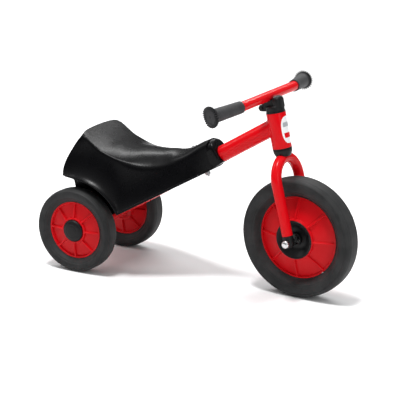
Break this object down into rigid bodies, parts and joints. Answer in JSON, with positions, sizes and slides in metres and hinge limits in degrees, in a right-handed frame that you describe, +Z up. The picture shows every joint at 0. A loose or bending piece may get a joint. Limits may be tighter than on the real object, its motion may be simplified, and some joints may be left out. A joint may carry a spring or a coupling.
{
  "type": "toddler ride-on tricycle",
  "caption": "Toddler's push-along ride-on: large steered front wheel, a rear wheel on each side, moulded saddle on a single sloping tube.",
  "frame": {"origin": "on the ground, under the middle of the overall length and width", "axes": "+X forward towards the front wheel, +Y the rider's left, +Z up"},
  "size_m": [0.6913, 0.3856, 0.4257],
  "materials": {
    "red_paint": "gloss powder coat",
    "red_plastic": "satin moulded",
    "seat_plastic": "satin moulded",
    "black_trim": "satin moulded",
    "grip_rubber": "fine dotted grain",
    "tyre_rubber": "solid rubber, fine tread",
    "zinc_steel": "bright zinc",
    "bush_plastic": "plain"
  },
  "bodies": {
    "frame": {"bracket_screw_left": "zinc_steel", "bracket_screw_right": "zinc_steel", "head_tube": "red_paint", "headset_bush_lower": "black_trim", "headset_bush_upper": "black_trim", "main_tube": "red_paint", "neck_bolt": "zinc_steel", "neck_nut": "zinc_steel", "neck_washer": "zinc_steel", "rear_axle_rod": "zinc_steel", "rear_axle_tube": "red_paint", "rear_retaining_ring_left": "zinc_steel", "rear_retaining_ring_right": "zinc_steel", "rear_spacer_left": "zinc_steel", "rear_spacer_right": "zinc_steel", "seat_bracket_left": "red_paint", "seat_bracket_right": "red_paint", "seat_shell": "seat_plastic"},
    "steering": {"bar_clamp_bolt": "black_trim", "bar_clamp_nut": "black_trim", "crown_cup": "black_trim", "fork": "red_paint", "fork_end_left": "black_trim", "fork_end_right": "black_trim", "front_axle_rod": "zinc_steel", "front_cap_nut_left": "zinc_steel", "front_cap_nut_right": "zinc_steel", "front_spacer_left": "zinc_steel", "front_spacer_right": "zinc_steel", "grip_left": "grip_rubber", "grip_right": "grip_rubber", "handlebar": "red_paint", "steerer_tube": "zinc_steel", "stem": "black_trim"},
    "front_wheel": {"front_bush_left": "bush_plastic", "front_bush_right": "bush_plastic", "front_hub_cup_left": "black_trim", "front_hub_cup_right": "black_trim", "front_rim": "red_plastic", "front_tyre": "tyre_rubber"},
    "rear_wheel_left": {"rear_hub_cap_left": "black_trim", "rear_left_bush_inner": "bush_plastic", "rear_left_bush_outer": "bush_plastic", "rear_rim_left": "red_plastic", "rear_tyre_left": "tyre_rubber"},
    "rear_wheel_right": {"rear_hub_cap_right": "black_trim", "rear_right_bush_inner": "bush_plastic", "rear_right_bush_outer": "bush_plastic", "rear_rim_right": "red_plastic", "rear_tyre_right": "tyre_rubber"}
  },
  "joints": [
    {"name": "steering", "type": "hinge", "parent": "frame", "child": "steering", "pos_m": [0.1762, 0, 0.306], "axis": [-0.2207, 0, 0.9753], "range_deg": [-56.8, 63.2]},
    {"name": "front_wheel_spin", "type": "hinge", "parent": "steering", "child": "front_wheel", "pos_m": [0.22049, -0.00018, 0.125], "axis": [0.0544, 0.9984, 0.0123], "continuous": true},
    {"name": "rear_wheel_left_spin", "type": "hinge", "parent": "frame", "child": "rear_wheel_left", "pos_m": [-0.2555, 0.0965, 0.09], "axis": [0, 1, 0], "continuous": true},
    {"name": "rear_wheel_right_spin", "type": "hinge", "parent": "frame", "child": "rear_wheel_right", "pos_m": [-0.2555, -0.0965, 0.09], "axis": [0, 1, 0], "continuous": true}
  ]
}
